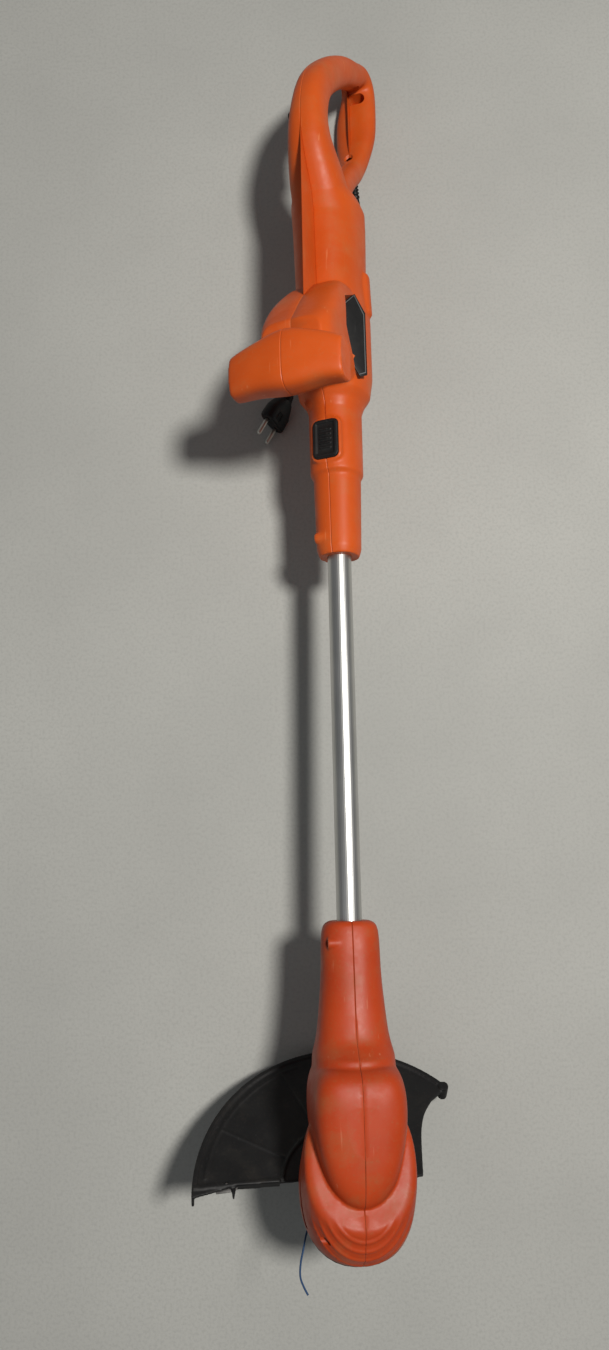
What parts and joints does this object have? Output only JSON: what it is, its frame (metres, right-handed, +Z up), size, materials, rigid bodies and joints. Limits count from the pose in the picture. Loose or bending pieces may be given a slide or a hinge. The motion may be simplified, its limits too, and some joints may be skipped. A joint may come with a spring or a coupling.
{
  "type": "string trimmer",
  "caption": "Corded garden string trimmer: moulded D handle and front grip, metal tube, tilted motor head with cutting line and fan-shaped guard, lying on the ground.",
  "frame": {"origin": "bottom centre of the trimmer as it lies on the ground, without its mains lead", "axes": "+Z up from the ground, +Y from the cutting head towards the rear handle, +X to the right"},
  "size_m": [0.235, 1.1888, 0.2357],
  "materials": {
    "orange_plastic": "fine textured moulding, scuffed",
    "red_plastic": "fine textured moulding, dusty",
    "black_plastic": "moulded, dusty",
    "cable": "smooth",
    "grey_plastic": "moulded",
    "tube_metal": "drawn, satin",
    "steel": "plain",
    "winding_copper": "enamelled copper wire",
    "brass_fittings": "nickel plated",
    "nylon_line": "smooth extruded nylon"
  },
  "bodies": {
    "handle": {"handle_shell_left": "orange_plastic", "handle_shell_right": "orange_plastic", "handle_screw_1": "steel", "handle_screw_2": "steel", "handle_screw_3": "steel", "handle_screw_4": "steel", "handle_screw_5": "steel", "handle_screw_6": "steel", "handle_screw_7": "steel", "lock_collar": "grey_plastic", "release_spring": "steel", "trigger_pin": "steel", "switch_body": "grey_plastic", "trigger_spring": "steel", "lock_off_spring": "steel", "name_plate": "black_plastic", "cord_gland": "cable", "switch_lead": "cable", "mains_cord": "cable", "plug_body": "cable", "plug_pin_1": "brass_fittings", "plug_pin_2": "brass_fittings"},
    "shaft": {"shaft_tube": "tube_metal", "shaft_lead": "cable", "head_shell_left": "red_plastic", "head_shell_right": "red_plastic", "head_screw_1": "steel", "head_screw_2": "steel", "head_screw_3": "steel", "head_base": "black_plastic", "lower_bearing": "steel", "guard": "black_plastic", "line_cutter": "steel", "guard_screw_1": "steel", "guard_screw_2": "steel", "cutter_screw": "steel", "motor_can": "steel", "motor_end_plate": "grey_plastic", "magnet_left": "steel", "magnet_right": "steel", "brush_left": "steel", "brush_right": "steel", "upper_bearing": "steel"},
    "rotor": {"armature": "winding_copper", "commutator": "winding_copper", "motor_shaft": "steel", "cooling_fan": "black_plastic", "spool_housing": "black_plastic", "line_eyelet": "brass_fittings", "spool_cap": "black_plastic", "lever_pin": "steel", "cutting_line": "nylon_line"},
    "feed_spool": {"spool": "grey_plastic", "line_winding": "nylon_line"},
    "lever": {"feed_lever": "grey_plastic"},
    "release": {"release_button": "black_plastic"},
    "trigger_body": {"trigger": "black_plastic"},
    "switch_slide": {"switch_plunger": "steel"},
    "lock_off": {"lock_off_button": "black_plastic"}
  },
  "joints": [
    {"name": "head_turn", "type": "hinge", "parent": "handle", "child": "shaft", "pos_m": [0.02352, -0.4994, 0.14024], "axis": [0, 0.9986, -0.0523], "range_deg": [-28, 152]},
    {"name": "cutter_spin", "type": "hinge", "parent": "shaft", "child": "rotor", "pos_m": [0.01992, -0.54508, 0.10151], "axis": [0.0599, 0.7614, 0.6455], "continuous": true},
    {"name": "spool_feed", "type": "hinge", "parent": "rotor", "child": "feed_spool", "pos_m": [0.01992, -0.54508, 0.10151], "axis": [0.0599, 0.7614, 0.6455], "continuous": true},
    {"name": "lever_rock", "type": "hinge", "parent": "rotor", "child": "lever", "pos_m": [0.03969, -0.52978, 0.09712], "axis": [0.0599, 0.7614, 0.6455], "range_deg": [-6, 6], "stiffness_Nm_per_rad": 0.01},
    {"name": "release_press", "type": "slide", "parent": "handle", "child": "release", "axis": [0.3907, -0.0482, -0.9192], "range_m": [0, 0.004], "stiffness_N_per_m": 900, "springref_m": -0.002, "deforming": ["release_spring"]},
    {"name": "trigger_pull", "type": "hinge", "parent": "handle", "child": "trigger_body", "pos_m": [0.00632, 0.48937, 0.12898], "axis": [-0.9205, -0.0204, -0.3902], "range_deg": [0, 9], "stiffness_Nm_per_rad": 0.8, "springref_deg": -8.59, "deforming": ["trigger_spring"]},
    {"name": "switch_press", "type": "slide", "parent": "handle", "child": "switch_slide", "axis": [-0.3907, 0.0482, 0.9192], "range_m": [0, 0.0025]},
    {"name": "lock_off_press", "type": "slide", "parent": "handle", "child": "lock_off", "axis": [0.9205, 0.0204, 0.3902], "range_m": [0, 0.004], "stiffness_N_per_m": 700, "springref_m": -0.002, "deforming": ["lock_off_spring"]}
  ],
  "couplings": [
    {"joint": "switch_press", "follows": "trigger_pull", "m_per_rad": 0.015}
  ]
}
